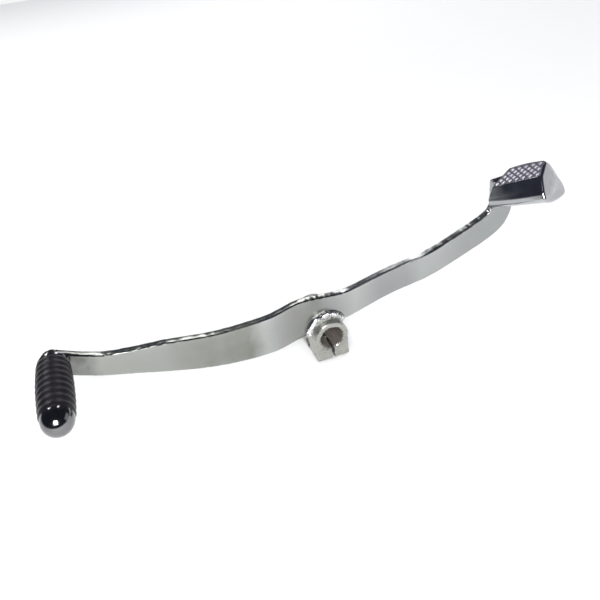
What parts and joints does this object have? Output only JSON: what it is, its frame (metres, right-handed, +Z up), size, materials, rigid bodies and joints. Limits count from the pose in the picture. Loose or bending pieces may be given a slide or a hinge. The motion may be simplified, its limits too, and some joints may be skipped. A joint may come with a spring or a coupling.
{
  "type": "motorcycle gear shift lever",
  "caption": "Heel-and-toe gear shift lever: a flat cranked steel bar welded to a split splined clamp boss, with a rubber toe peg and a studded heel pad.",
  "frame": {"origin": "the shaft axis at the inboard face of the clamp boss", "axes": "+X from the toe peg to the heel pad, +Z up, +Y inboard along the shaft axis towards the engine, -Y outboard"},
  "size_m": [0.2563, 0.0705, 0.0861],
  "materials": {
    "plated_bar": "chrome plate over brushed steel, slightly cloudy",
    "plated_boss": "chrome plate over a turned and milled steel boss",
    "plated_weld": "chrome plate over a rough weld bead",
    "plated_pin": "bright chrome plate over a turned and domed pin",
    "peg_rubber": "smooth ribbed black rubber with a low gloss",
    "plated_pad": "chrome plate over a studded steel pad",
    "zinc_screw": "bright zinc plate"
  },
  "bodies": {
    "lever": {"lever_arm": "plated_bar", "clamp_boss": "plated_boss", "boss_weld_front": "plated_weld", "boss_weld_back": "plated_weld", "toe_pin": "plated_pin", "toe_washer": "plated_pin", "toe_rubber": "peg_rubber", "heel_pad": "plated_pad", "heel_weld": "plated_weld"},
    "washer": {"spring_washer": "zinc_screw"},
    "bolt": {"pinch_bolt": "zinc_screw"}
  },
  "joints": [
    {"name": "bolt_draw", "type": "slide", "parent": "lever", "child": "washer", "axis": [1, 0, 0], "range_m": [0, 0.0064]},
    {"name": "bolt_turn", "type": "hinge", "parent": "washer", "child": "bolt", "pos_m": [0.00845, -0.0165, -0.0091], "axis": [1, 0, 0], "range_deg": [0, 2880]}
  ],
  "couplings": [
    {"joint": "bolt_draw", "follows": "bolt_turn", "m_per_rad": 0.00012732}
  ]
}
